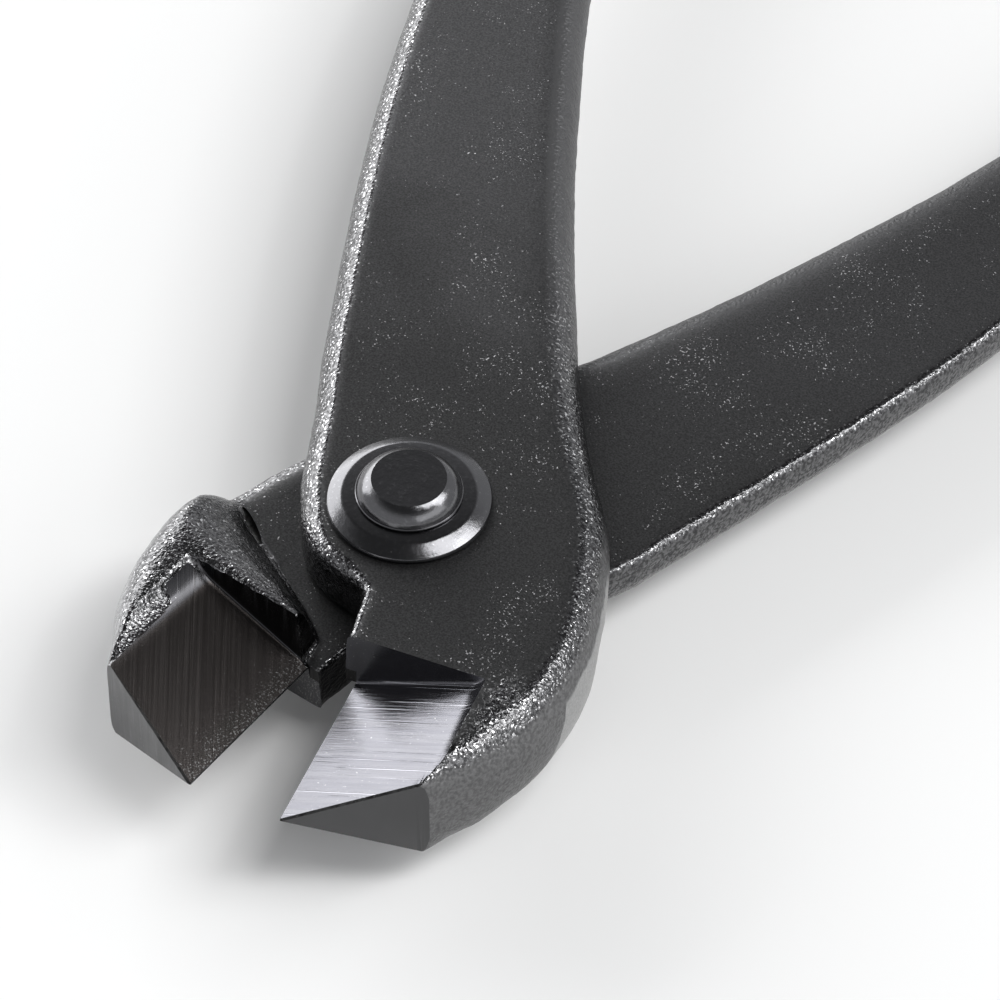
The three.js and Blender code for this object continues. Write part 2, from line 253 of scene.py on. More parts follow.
class Tree:
    """A material's node tree, with short calls for the nodes that the finishes use."""

    def __init__(self, name: str) -> None:
        """Makes a material that holds one shader and its output.

        Args:
            name: The name of the material.
        """
        self.material = bpy.data.materials.new(name)
        self.material.use_nodes = True
        self.nodes = self.material.node_tree.nodes
        self.links = self.material.node_tree.links
        self.nodes.clear()
        self.shader = self.nodes.new("ShaderNodeBsdfPrincipled")
        output = self.nodes.new("ShaderNodeOutputMaterial")
        self.links.new(self.shader.outputs["BSDF"], output.inputs["Surface"])
        self.coordinates = self.nodes.new("ShaderNodeTexCoord")

    def feed(self, socket: Socket, value: Input) -> None:
        """Links a socket to another one, or sets its own value."""
        if isinstance(value, bpy.types.NodeSocket):
            self.links.new(value, socket)
        else:
            socket.default_value = value

    def place(self) -> Socket:
        """Gives the place on the object, in millimetres."""
        node = self.nodes.new("ShaderNodeVectorMath")
        node.operation = "SCALE"
        self.feed(node.inputs[0], self.coordinates.outputs["Object"])
        node.inputs["Scale"].default_value = 1 / MM
        return node.outputs[0]

    def turned_place(self, centre: Vector, angle: float, scale: tuple[float, float, float]) -> Socket:
        """Gives the place in a turned and stretched frame, in millimetres.

        Args:
            centre: The frame's origin, in millimetres.
            angle: The frame's turn about z, in degrees.
            scale: The stretch along each of the frame's axes.

        Returns:
            The place in that frame.
        """
        node = self.nodes.new("ShaderNodeMapping")
        node.vector_type = "TEXTURE"
        self.feed(node.inputs["Vector"], self.place())
        node.inputs["Location"].default_value = centre
        node.inputs["Rotation"].default_value = (0, 0, math.radians(angle))
        node.inputs["Scale"].default_value = tuple(1 / value for value in scale)
        return node.outputs[0]

    def split(self, vector: Socket) -> tuple[Socket, Socket, Socket]:
        """Splits a vector into its three numbers."""
        node = self.nodes.new("ShaderNodeSeparateXYZ")
        self.feed(node.inputs[0], vector)
        return tuple(node.outputs)

    def math(self, operation: str, first: Input, second: Input = 0.0, third: Input = 0.0) -> Socket:
        """Works out one sum from up to three numbers."""
        node = self.nodes.new("ShaderNodeMath")
        node.operation = operation
        for socket, value in zip(node.inputs, (first, second, third)):
            self.feed(socket, value)
        return node.outputs[0]

    def noise(self, place: Socket, per_mm: float, detail: float = 2.0, rough: float = 0.5) -> Socket:
        """Gives soft noise with so many waves to a millimetre."""
        node = self.nodes.new("ShaderNodeTexNoise")
        self.feed(node.inputs["Vector"], place)
        node.inputs["Scale"].default_value = per_mm
        node.inputs["Detail"].default_value = detail
        node.inputs["Roughness"].default_value = rough
        return node.outputs["Fac"]

    def cells(self, place: Socket, per_mm: float) -> tuple[Socket, Socket]:
        """Gives the distance to the nearest cell's centre, and a number of the cell's own."""
        node = self.nodes.new("ShaderNodeTexVoronoi")
        self.feed(node.inputs["Vector"], place)
        node.inputs["Scale"].default_value = per_mm
        own = self.split(node.outputs["Color"])[0]
        return node.outputs["Distance"], own

    def ramp(self, value: Input, start: Input, end: Input, low: float = 0.0, high: float = 1.0) -> Socket:
        """Takes a value from one range to another, with soft ends."""
        node = self.nodes.new("ShaderNodeMapRange")
        node.interpolation_type = "SMOOTHSTEP"
        self.feed(node.inputs["Value"], value)
        self.feed(node.inputs["From Min"], start)
        self.feed(node.inputs["From Max"], end)
        node.inputs["To Min"].default_value = low
        node.inputs["To Max"].default_value = high
        return node.outputs["Result"]

    def blend(self, share: Input, first: Input, second: Input) -> Socket:
        """Mixes two numbers."""
        node = self.nodes.new("ShaderNodeMix")
        node.data_type = "FLOAT"
        self.feed(node.inputs["Factor"], share)
        self.feed(node.inputs["A"], first)
        self.feed(node.inputs["B"], second)
        return node.outputs["Result"]

    def tint(self, share: Input, first: Input, second: Input) -> Socket:
        """Mixes two colours, each given as three numbers or a socket."""
        node = self.nodes.new("ShaderNodeMix")
        node.data_type = "RGBA"
        self.feed(node.inputs["Factor"], share)
        for key, value in ((6, first), (7, second)):
            plain = isinstance(value, tuple)
            self.feed(node.inputs[key], (*value, 1.0) if plain else value)
        return node.outputs[2]

    def shade(self, colour: Input, factor: Socket) -> Socket:
        """Multiplies a colour, given as three numbers or a socket, by a number."""
        node = self.nodes.new("ShaderNodeMix")
        node.data_type = "RGBA"
        node.blend_type = "MULTIPLY"
        node.inputs["Factor"].default_value = 1.0
        self.feed(node.inputs[6], (*colour, 1.0) if isinstance(colour, tuple) else colour)
        self.feed(node.inputs[7], factor)
        return node.outputs[2]

    def bump(self, height: Socket, depth: float, under: Socket | None = None) -> Socket:
        """Turns a height into a normal.

        Args:
            height: The height, from 0 to 1.
            depth: The depth of the whole range, in millimetres.
            under: A normal that this one lies on.

        Returns:
            The bumped normal.
        """
        node = self.nodes.new("ShaderNodeBump")
        node.inputs["Strength"].default_value = 1.0
        node.inputs["Distance"].default_value = depth * MM
        self.feed(node.inputs["Height"], height)
        if under:
            self.feed(node.inputs["Normal"], under)
        return node.outputs[0]

    def finish(self, colour: Socket, roughness: Socket, normal: Socket) -> bpy.types.Material:
        """Joins the worked-out looks to the shader, as bare metal.

        Args:
            colour: The metal's colour.
            roughness: Its roughness.
            normal: Its bumped normal.

        Returns:
            The finished material.
        """
        self.shader.inputs["Metallic"].default_value = 1.0
        self.feed(self.shader.inputs["Base Color"], colour)
        self.feed(self.shader.inputs["Roughness"], roughness)
        self.feed(self.shader.inputs["Normal"], normal)
        return self.material


@dataclass(frozen=True)
class ForgedFinish:
    """Black oxide on a forging: satin faces with fine bright dots of painted glint, and rough scale round the edges.

    A trimmed band low on the jaw's outer wall, where the flash was ground off, is smoother and
    paler. It lies under a line whose height falls toward the tip.
    """

    head_colour: tuple[float, float, float] = (0.06, 0.06, 0.061)
    handle_colour: tuple[float, float, float] = (0.103, 0.103, 0.106)
    head_end: float = 12.0
    handle_start: float = 44.0
    scale_low: tuple[float, float, float] = (0.06, 0.06, 0.062)
    scale_high: tuple[float, float, float] = (0.17, 0.17, 0.174)
    speck_glint_colour: tuple[float, float, float] = (0.5, 0.5, 0.51)
    trim_colour: tuple[float, float, float] = (0.4, 0.4, 0.4)
    face_roughness: float = 0.44
    scale_roughness: float = 0.2
    glint_colour: tuple[float, float, float] = (0.8, 0.8, 0.81)
    glints_per_mm: float = 4.2
    glint_least: float = 0.62
    calm_colour: tuple[float, float, float] = (0.12, 0.12, 0.123)
    calm_roughness: float = 0.46
    wall_colour: tuple[float, float, float] = (0.15, 0.15, 0.152)
    wall_roughness: float = 0.44
    wall_slope: float = 0.65
    throat_shade_colour: tuple[float, float, float] = (0.022, 0.022, 0.022)
    trim_roughness: float = 0.42
    flat_start: float = 0.955
    flat_end: float = 0.9985
    grain_per_mm: float = 3.3
    grain_depth: float = 0.12
    wall_grain: float = 1.1
    handle_grain: float = 1.0
    face_grain_per_mm: float = 6.0
    face_grain_depth: float = 0.016
    speck_glints_per_mm: float = 5.5
    speck_glint_least: float = 0.77

    def material(self, name: str, lever: Matrix, trim: bool) -> bpy.types.Material:
        """Builds the finish as a material.

        Args:
            name: The name of the material.
            lever: The matrix from the lever's own frame to the row's.
            trim: Whether the jaw's outer wall has a trimmed band.

        Returns:
            The material.
        """
        tree = Tree(name)
        place = tree.place()
        side_x, side_y, side_z = tree.split(tree.coordinates.outputs["Normal"])
        slope = tree.math("ABSOLUTE", side_z)
        inner = tree.math("MULTIPLY_ADD", side_x, lever[0][0], tree.math("MULTIPLY", side_y, lever[1][0]))
        inner = tree.ramp(inner, -0.05, 0.15)
        ragged = tree.math("MULTIPLY_ADD", tree.noise(place, 1.6, 3.0), 0.03, -0.015)
        flat = tree.ramp(tree.math("ADD", slope, ragged), self.flat_start, self.flat_end)
        if not trim:
            flat = tree.math("MULTIPLY", flat, tree.ramp(tree.split(place)[2], 9.5, 9.0))
        turn = math.degrees(math.atan2(-lever[0][1], lever[1][1]))
        across, along, height = tree.split(tree.turned_place(lever.translation / MM, turn, (1, 1, 1)))
        beside = tree.math("MULTIPLY", tree.ramp(across, 10.5, 12.5), tree.ramp(along, -12.0, -15.5))
        patch = tree.ramp(tree.math("MULTIPLY_ADD", beside, 0.22, tree.noise(place, 2.4, 3.0)), 0.58, 0.66)
        flat = tree.math("MULTIPLY", flat, tree.math("SUBTRACT", 1.0, tree.math("MULTIPLY", patch, beside)))
        scale = tree.math("SUBTRACT", 1.0, flat)

        grain = tree.noise(place, self.grain_per_mm, 1.5, 0.5)
        fine = tree.noise(place, self.face_grain_per_mm, 2.0, 0.65)
        speck_glint = self.speck_glints(tree, place, flat)
        wander = tree.math("MULTIPLY_ADD", tree.noise(place, 0.08, 3.0), 40.0, -20.0)
        # Painted reflection: the flat faces are painted darker at the head and paler along the handle, standing in for
        # their reflection changing along the tool.
        painted_sheen_run = tree.ramp(tree.math("ADD", along, wander), self.head_end, self.handle_start)
        face = tree.tint(painted_sheen_run, self.head_colour, self.handle_colour)
        face = tree.shade(face, tree.ramp(fine, 0.3, 0.7, 0.74, 1.26))
        rough_colour = tree.tint(tree.ramp(grain, 0.35, 0.65), self.scale_low, self.scale_high)
        # Painted glints: sparse bright dots put into the scale's colour, on its rounded edges rather than its upright
        # walls.
        glint = tree.ramp(tree.noise(place, self.glints_per_mm, 1.0, 0.4), self.glint_least, self.glint_least + 0.06)
        glint = tree.math("MULTIPLY", glint, tree.ramp(slope, 0.25, 0.6))
        rough_colour = tree.tint(glint, rough_colour, self.glint_colour)
        handle = tree.math("MULTIPLY", tree.ramp(along, 4.0, 40.0), inner)
        wall = tree.math("MULTIPLY", tree.ramp(slope, self.wall_slope, self.wall_slope - 0.3), inner)
        wall = tree.math("MULTIPLY", wall, tree.ramp(along, 8.0, 2.0))
        # Painted shade: the steep walls in the throat near the pivot are painted near-black, where they lie in shade.
        shaded_throat = tree.math("MULTIPLY", tree.ramp(slope, 0.5, 0.2), tree.ramp(along, -9.5, -11.0))
        shaded_throat = tree.math("MULTIPLY", shaded_throat, tree.ramp(tree.math("ABSOLUTE", across), 3.4, 2.6))
        rough_colour = tree.tint(handle, rough_colour, self.calm_colour)
        # Steep walls near the jaw take wall_colour; on the lower lever its pale value is a painted reflection of the
        # lamp on the left.
        rough_colour = tree.tint(wall, rough_colour, tree.shade(self.wall_colour, tree.ramp(grain, 0.3, 0.7, 0.8, 1.25)))
        rough_colour = tree.tint(shaded_throat, rough_colour, self.throat_shade_colour)
        colour = tree.tint(scale, face, rough_colour)
        # Painted glints: the flat faces' bright dots take a pale colour of their own, over a small bump.
        colour = tree.tint(speck_glint, colour, self.speck_glint_colour)
        scale_roughness = tree.blend(handle, self.scale_roughness, self.calm_roughness)
        scale_roughness = tree.blend(wall, scale_roughness, self.wall_roughness)
        roughness = tree.blend(scale, self.face_roughness, scale_roughness)
        steep = tree.ramp(slope, 0.15, 0.6, self.wall_grain)
        coarse = tree.ramp(tree.math("MAXIMUM", handle, shaded_throat), 0.0, 1.0, 1.0, self.handle_grain)
        onset = tree.ramp(tree.math("ADD", slope, ragged), 0.999, 0.9)
        onset = tree.math("MAXIMUM", onset, tree.math("MULTIPLY", patch, beside))
        if not trim:
            onset = tree.math("MAXIMUM", onset, tree.ramp(height, 1.3, 1.8))
        relief = tree.math("MULTIPLY", tree.math("MULTIPLY", steep, coarse), tree.math("MULTIPLY", grain, onset))
        if trim:
            band = self.trimmed_band(tree, lever, slope)
            colour = tree.tint(band, colour, tree.shade(self.trim_colour, tree.ramp(fine, 0.3, 0.7, 0.85, 1.15)))
            roughness = tree.blend(band, roughness, self.trim_roughness)
            relief = tree.math("MULTIPLY", relief, tree.math("MULTIPLY_ADD", band, -0.6, 1.0))
        normal = tree.bump(fine, self.face_grain_depth)
        normal = tree.bump(relief, self.grain_depth, normal)
        normal = tree.bump(speck_glint, 0.03, normal)
        return tree.finish(colour, roughness, normal)

    def speck_glints(self, tree: Tree, place: Socket, flat: Socket) -> Socket:
        """Gives the bright dots of the flat faces, in loose crowds: painted glints over a small bump.

        Args:
            tree: The tree that they belong to.
            place: The place on the piece.
            flat: Where the faces are flat.

        Returns:
            The painted glints' strength.
        """
        crowd = tree.noise(place, 0.14, 3.0, 0.6)
        least = tree.ramp(crowd, 0.35, 0.68, self.speck_glint_least, self.speck_glint_least - 0.13)
        speckle = tree.noise(place, self.speck_glints_per_mm, 1.0, 0.5)
        dot = tree.ramp(tree.math("SUBTRACT", speckle, least), 0.0, 0.09)
        return tree.math("MULTIPLY", dot, flat)

    def trimmed_band(self, tree: Tree, lever: Matrix, slope: Socket) -> Socket:
        """Gives the trimmed band on the jaw's outer wall.

        Args:
            tree: The tree that it belongs to.
            lever: The matrix from the lever's own frame to the row's.
            slope: How level the surface lies.

        Returns:
            The band's strength.
        """
        turn = math.degrees(math.atan2(-lever[0][1], lever[1][1]))
        across, along, height = tree.split(tree.turned_place(lever.translation / MM, turn, (1, 1, 1)))
        wander = tree.math("MULTIPLY_ADD", tree.noise(tree.place(), 0.5, 3.0), 1.2, -0.6)
        line = tree.math("MINIMUM", 2.1, tree.math("MULTIPLY_ADD", along, 2.4, 31.0))
        line = tree.math("MAXIMUM", line, -7.0)
        under = tree.math("SUBTRACT", tree.math("ADD", line, wander), height)
        band = tree.math("MULTIPLY", tree.ramp(under, -0.2, 0.25), tree.ramp(slope, 0.55, 0.35))
        outer = tree.math("MULTIPLY", tree.ramp(across, 11.5, 12.5), tree.ramp(along, 2.0, 0.0))
        return tree.math("MULTIPLY", band, outer)


@dataclass(frozen=True)
class GroundFinish:
    """Ground steel, blackened after grinding, with the marks of the wheel along one way."""

    colour: tuple[float, float, float]
    mark_colour: tuple[float, float, float]
    roughness: float
    streaks: Streaks
    streak_depth: float
    cloud: float = 0.4
    line_share: float = 0.2
    wall_shade: float = 1.0
    dust_gain: float = 2.0
    dust_least: float = 0.72
    edge_dust: float = 0.0
    slant: float = 0.0
    broad_per_mm: float = 1.6
    fillet_colour: tuple[float, float, float] | None = None

    def material(self, name: str, turn: float) -> bpy.types.Material:
        """Builds the finish as a material.

        Args:
            name: The name of the material.
            turn: The lever's turn about the pivot at rest, in degrees, which the marks follow.

        Returns:
            The material.
        """
        tree = Tree(name)
        across = self.streaks is Streaks.ACROSS
        stretch = (0.012, 1.0, 0.001) if across else (1.0, 1.0, 0.04)
        marks = tree.turned_place(Vector(), turn + self.slant, stretch)
        fine = tree.noise(marks, 9.0, 2.0, 0.7)
        broad = tree.noise(marks, self.broad_per_mm, 2.0, 0.6)
        line = tree.ramp(tree.noise(marks, 4.5, 1.0), 0.62, 0.7)
        cloud = tree.noise(tree.turned_place(Vector(), turn, (0.5, 1.6, 0.5)), 0.9, 3.0, 0.6)
        side = tree.split(tree.turned_place(Vector(), turn, (1, 1, 1)))[0]
        reach = tree.math("ABSOLUTE", tree.math("SUBTRACT", side, Lever.meeting_offset))
        least = tree.ramp(reach, 0.2, 3.4, self.dust_least - self.edge_dust, self.dust_least)
        dust = tree.math("SUBTRACT", tree.noise(tree.place(), 7.0, 1.0), least)
        dust = tree.ramp(dust, 0.0, 0.06)

        base = tree.tint(tree.ramp(broad, 0.3, 0.7), self.colour, self.mark_colour)
        dulled = tree.shade(base, tree.math("MULTIPLY_ADD", cloud, self.cloud, 1.0 - self.cloud / 2))
        if self.fillet_colour:
            tilt = tree.math("ABSOLUTE", tree.split(tree.coordinates.outputs["Normal"])[2])
            dulled = tree.tint(tree.ramp(tilt, 0.925, 0.88), dulled, self.fillet_colour)
        # Faces that stand upright across the lever, its back walls and the face in front of the step, are multiplied
        # by wall_shade: below 1 it paints shade on them, above 1 it paints light.
        upright = tree.math("ABSOLUTE", tree.split(tree.coordinates.outputs["Normal"])[1])
        dulled = tree.shade(dulled, tree.ramp(upright, 0.6, 0.9, 1.0, self.wall_shade))
        # Painted highlights: the wheel's lines are painted at twice the mark colour, as bright lines along the real
        # grinding marks.
        lit = tuple(min(1.0, value * 2.0) for value in self.mark_colour)
        colour = tree.tint(tree.math("MULTIPLY", line, self.line_share), dulled, lit)
        speckle = tuple([min(1.0, self.mark_colour[1] * self.dust_gain)] * 3)
        colour = tree.tint(dust, colour, speckle)

        roughness = tree.math("MULTIPLY_ADD", broad, 0.12, self.roughness - 0.06)
        height = tree.math("MULTIPLY_ADD", line, 0.6, fine)
        return tree.finish(colour, roughness, tree.bump(height, self.streak_depth))


@dataclass(frozen=True)
class TurnedFinish:
    """Turned, polished and blackened steel, with faint rings from the lathe."""

    colour: tuple[float, float, float] = (0.13, 0.13, 0.136)
    bright: tuple[float, float, float] = (0.22, 0.22, 0.23)
    roughness: float = 0.17
    ring_depth: float = 0.004

    def material(self, name: str) -> bpy.types.Material:
        """Builds the finish as a material."""
        tree = Tree(name)
        place = tree.place()
        side, depth, height = tree.split(place)
        radius = tree.math("SQRT", tree.math("MULTIPLY_ADD", side, side, tree.math("MULTIPLY", depth, depth)))
        rings = tree.nodes.new("ShaderNodeCombineXYZ")
        tree.feed(rings.inputs[0], radius)
        tree.feed(rings.inputs[2], height)
        groove = tree.noise(rings.outputs[0], 6.0, 2.0)
        handling = tree.noise(place, 2.6, 4.0, 0.65)
        distance, own = tree.cells(place, 1.7)
        nick = tree.math("MULTIPLY", tree.math("GREATER_THAN", own, 0.93), tree.ramp(distance, 0.12, 0.04))

        colour = tree.tint(tree.ramp(handling, 0.55, 0.8), self.colour, self.bright)
        colour = tree.tint(nick, colour, (0.5, 0.5, 0.5))
        roughness = tree.math("MULTIPLY_ADD", handling, 0.12, self.roughness - 0.05)
        normal = tree.bump(groove, self.ring_depth)
        normal = tree.bump(handling, 0.012, normal)
        return tree.finish(colour, roughness, normal)


@dataclass(frozen=True)
class Grind:
    """What one hand-ground lever has of its own, in its own frame: sizes in mm and degrees."""

    turn: float
    face: Face
    end_slant: float
    pocket_width: float
    pocket_fillet: float
    fillet_lift: float
    fillet_power: float
    inner_rise: float
    bevel: GroundFinish
    end: GroundFinish
    swell: float = 0.0
    crease: tuple[float, float, float] | None = None


@dataclass
class Lever:
    """One forged lever: jaw, head and handle in one piece.

    Its own frame has x from the line where the jaws meet, y along the tool and z from the lap
    plane, toward the lever's outer face.
    """

    node: str
    body: str
    grind: Grind
    forged: ForgedFinish
    meeting_offset: float = 1.6
    thickness: float = 5.0
    jaw_reach: float = 29.5
    back_wall_reach: float = 14.4
    back_wall_lean: float = 0.45
    step_clearance: float = 0.25
    step_trim: float = 0.17
    edge_setback: float = 0.1
    edge_land: float = 0.3
    bevel_rise: float = 3.9
    bevel_run: float = 9.5
    grain: float = 0.22
    clean_up: float = 0.05
    wall_fillet: float = 0.3
    edge_break: float = 0.16
    crease_size: tuple[float, float, float] = (2.3, 0.42, 0.55)
    step_soften: int = 40
    handle_start: float = 10.0
    handle_blend: float = 12.0
    handle_soften: int = 80
    outer_soften: float = 0.25
    inner_fall: float = 0.0
    fall_width: float = 5.0
    head_fall_width: float = 2.4
    wall_soften: float = 0.35
    rim_start: float = 8.5
    rim_fade: float = 3.0
    rim_width: float = 1.8
    rim_drop: float = 0.95
    row_step: float = 0.5
    stock_share: float = 0.86
    spare: float = 3.0
    triangles: int = 185000
    piece: bpy.types.Object = field(init=False, default=None)

    def frame(self) -> Matrix:
        """Gives the matrix from the lever's own frame to the row's, in metres."""
        low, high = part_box("pivot_rivet")
        lap = Matrix.Translation((0, 0, (low.z + high.z) / 2))
        turn = Matrix.Rotation(math.radians(self.grind.turn), 4, "Z")
        offset = Matrix.Translation((self.meeting_offset * MM, 0, 0))
        over = Matrix.Rotation(math.pi if self.grind.face is Face.DOWN else 0, 4, "Y")
        return lap @ turn @ offset @ over

    def build(self, source: bpy.types.Object) -> bpy.types.Object:
        """Makes the lever from its plain solid.

        Args:
            source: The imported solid, which stays as it is.

        Returns:
            The finished piece, riding on its body.
        """
        self.piece = Bench.copy(source, f"{self.node}_forging")
        self.piece.data.materials.clear()
        scale = self.forged.material(f"{self.node}_scale", self.frame(), self.grind.face is Face.UP)
        self.piece.data.materials.append(scale)
        Bench.face_outward(self.piece)
        self.restore_stock()
        self.forge()
        self.grind_jaw()
        Bench.settle(self.piece, 32)
        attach(self.piece, self.body)
        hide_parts(self.node)
        return self.piece

    def restore_stock(self) -> None:
        """Fills the ground pockets again, so that their edges can be cut clean later.

        Below the lap plane the stock starts nearer the tip, clear of the other lever's step.
        """
        near_wall = -self.back_wall_reach - self.edge_setback
        far_wall = -self.back_wall_reach - self.back_wall_lean - self.step_clearance
        rim = self.grind.pocket_width - self.edge_land
        inside = rim * self.stock_share
        tip = -self.jaw_reach - self.spare / 2
        for level, wall in ((self.thickness, near_wall), (-self.thickness, far_wall)):
            for left, right, front in ((-self.spare / 4, inside, tip), (0.0, rim, wall - self.spare)):
                stock = {}
                for x, y, z in ((x, y, z) for x in (-1, 1) for y in (-1, 1) for z in (-1, 1)):
                    height = level if z * level > 0 else self.clean_up * (1 if level > 0 else 2)
                    stock[x, y, z] = Vector((right if x > 0 else left, wall if y > 0 else front, height))
                block = Bench.block("stock", stock)
                Bench.place(block, self.frame())
                Bench.boolean(self.piece, block, Cut.ADD)

    def forge(self) -> None:
        """Turns the faceted solid into one skin with soft edges and the relief of a forging."""
        piece = self.piece
        Bench.modify(piece, "REMESH", mode="VOXEL", voxel_size=self.grain * MM, use_smooth_shade=True)
        Bench.modify(piece, "SMOOTH", factor=0.5, iterations=6)
        self.soften_step()
        self.soften_rims()
        self.mark_scale()
        for name, kind, size, depth in (
            ("waves", "CLOUDS", 2.6, 0.1),
            ("dents", "CLOUDS", 0.9, 0.07),
        ):
            texture = bpy.data.textures.new(f"{self.node}_{name}", kind)
            texture.noise_scale = size * MM
            Bench.modify(
                piece,
                "DISPLACE",
                texture=texture,
                texture_coords="LOCAL",
                vertex_group="scale",
                mid_level=0.45,
                strength=depth * MM,
            )
        count = 2 * len(piece.data.polygons)
        Bench.modify(piece, "DECIMATE", ratio=min(1.0, self.triangles / count))

    def soften_step(self) -> None:
        """Rounds the worn upper edges of the step beside the pivot, on both faces."""
        group = self.piece.vertex_groups.new(name="step")
        inverse = self.frame().inverted()
        low, high = -self.back_wall_reach, -self.back_wall_reach / 2
        for vertex in self.piece.data.vertices:
            spot = inverse @ vertex.co / MM
            outer = abs(spot.z) > self.thickness / 2
            if outer and spot.x < self.spare / 2 and low < spot.y < high:
                group.add([vertex.index], 1.0, "REPLACE")
        Bench.modify(self.piece, "SMOOTH", factor=0.5, iterations=self.step_soften, vertex_group="step")

    def soften_rims(self) -> None:
        """Rounds the rims of the head and the handle.

        The outer rim has a broad slanting edge on the outer face. The face toward the inner edge
        falls away softly where the lever asks for it.
        """
        group = self.piece.vertex_groups.new(name="rims")
        frame = self.frame()
        inverse = frame.inverted()
        spots = [inverse @ vertex.co / MM for vertex in self.piece.data.vertices]
        rows = self.plan_rows(spots)
        half = self.thickness / 2
        for index, spot in enumerate(spots):
            start = min(1.0, (spot.y + self.rim_start) / self.rim_fade)
            wall = self.grind.pocket_width + (self.edge_land if spot.y < -self.back_wall_reach else -self.spare)
            if spot.y < self.handle_start and spot.x > wall:
                group.add([index], self.wall_soften, "REPLACE")
            if start <= 0:
                push = min(1.0, max(0.0, spot.x - self.thickness) / self.thickness)
                push *= self.grind.swell * min(1.0, -start)
                self.piece.data.vertices[index].co = frame @ (Vector((spot.x + push, spot.y, spot.z)) * MM)
                continue
            low, high = self.plan_sides(rows, spot.y)
            handle = min(1.0, max(0.0, (spot.y - self.handle_start) / self.handle_blend))
            inward = min(1.0, max(0.0, (spot.x - low) / (high - low) * 2 - 0.5))
            group.add([index], start * max(handle * inward, self.outer_soften), "ADD")

            width = self.head_fall_width + (self.fall_width - self.head_fall_width) * handle
            near = max(0.0, 1 - (high - spot.x) / width)
            level = half + (spot.z - half) * (1 - self.inner_fall * start * near**2 / half)
            rim = max(0.0, 1 - (spot.x - low) / self.rim_width)
            level -= self.rim_drop * start * rim * max(0.0, level) / self.thickness
            self.piece.data.vertices[index].co = frame @ (Vector((spot.x, spot.y, level)) * MM)
        Bench.modify(self.piece, "SMOOTH", factor=0.5, iterations=self.handle_soften, vertex_group="rims")

    def plan_rows(self, spots: list[Vector]) -> dict[int, tuple[float, float]]:
        """Gives the least and the greatest x of each narrow row of the lever's plan."""
        rows = {}
        for spot in spots:
            row = round(spot.y / self.row_step)
            low, high = rows.get(row, (spot.x, spot.x))
            rows[row] = (min(low, spot.x), max(high, spot.x))
        return rows

    def plan_sides(self, rows: dict[int, tuple[float, float]], y: float) -> tuple[float, float]:
        """Gives the plan's two sides at a place along the lever, between its rows."""
        row = math.floor(y / self.row_step)
        share = y / self.row_step - row
        near = rows.get(row) or rows[row + 1]
        far = rows.get(row + 1) or near
        return tuple(first + (second - first) * share for first, second in zip(near, far))

    def mark_scale(self) -> None:
        """Weights the vertices that carry forging scale: all but the flat and the ground faces."""
        group = self.piece.vertex_groups.new(name="scale")
        inverse = self.frame().inverted()
        for vertex in self.piece.data.vertices:
            tilt = 1 - abs(vertex.normal.z)
            weight = min(1.0, max(0.0, (tilt - 0.003) / 0.35))
            if weight > 0 and not self.is_ground(inverse @ vertex.co / MM):
                group.add([vertex.index], weight, "REPLACE")

    def is_ground(self, spot: Vector) -> bool:
        """Says whether a place in the lever's frame lies on a face that is ground later."""
        near = self.edge_land * 2
        if (spot - self.tip_point()).dot(self.end_normal()) > -near:
            return True
        inside = spot.x < self.grind.pocket_width and spot.y < -self.back_wall_reach + near
        return inside and abs(spot.z) < self.floor_height(spot.x, self.bevel_rise) + near

    def floor_height(self, x: float, rise: float) -> float:
        """Gives the height of the bevel above the lap plane at a distance from the edge."""
        return self.edge_land / 2 + (x - self.edge_setback) * rise / self.bevel_run

    def grind_jaw(self) -> None:
        """Grinds the cutting edge, both bevels with their back walls, and the end face."""
        turn = self.grind.turn
        bevel = self.grind.bevel.material(f"{self.node}_bevel", turn)
        end = self.grind.end.material(f"{self.node}_end", turn)
        burr = BURR.material(f"{self.node}_burr", turn)
        tools = [
            (self.edge_tool(), burr),
            (self.pocket_tool(1), bevel),
            (self.pocket_tool(-1), bevel),
            (self.break_tool(1), burr),
            (self.break_tool(-1), burr),
            (self.end_tool(), end),
        ]
        if self.grind.crease:
            tools.append((self.crease_tool(), burr))
        for tool, material in tools:
            tool.data.materials.append(material)
            Bench.place(tool, self.frame())
            Bench.boolean(self.piece, tool, Cut.REMOVE)

    def crease_tool(self) -> bpy.types.Object:
        """Makes the slim body that leaves the crease along the foot of the shoulder."""
        x, y, angle = self.grind.crease
        bpy.ops.mesh.primitive_uv_sphere_add(segments=48, ring_count=24, radius=MM)
        tool = bpy.context.object
        tool.name = "crease_tool"
        bpy.ops.transform.resize(value=self.crease_size)
        turn = Matrix.Rotation(math.radians(angle), 4, "Z")
        Bench.place(tool, Matrix.Translation(Vector((x, y, self.edge_setback)) * MM) @ turn)
        return tool

    def edge_tool(self) -> bpy.types.Object:
        """Makes the body that leaves a thin land along the cutting edge."""
        x = self.edge_setback + self.clean_up
        start = -self.back_wall_reach - self.back_wall_lean + self.step_trim
        corners = {}
        for signs in ((x, y, z) for x in (-1, 1) for y in (-1, 1) for z in (-1, 1)):
            corners[signs] = Vector(
                (
                    x if signs[0] > 0 else -self.spare,
                    start if signs[1] > 0 else -self.jaw_reach - self.spare,
                    signs[2] * (self.thickness + self.spare),
                )
            )
        return Bench.block("edge_tool", corners)

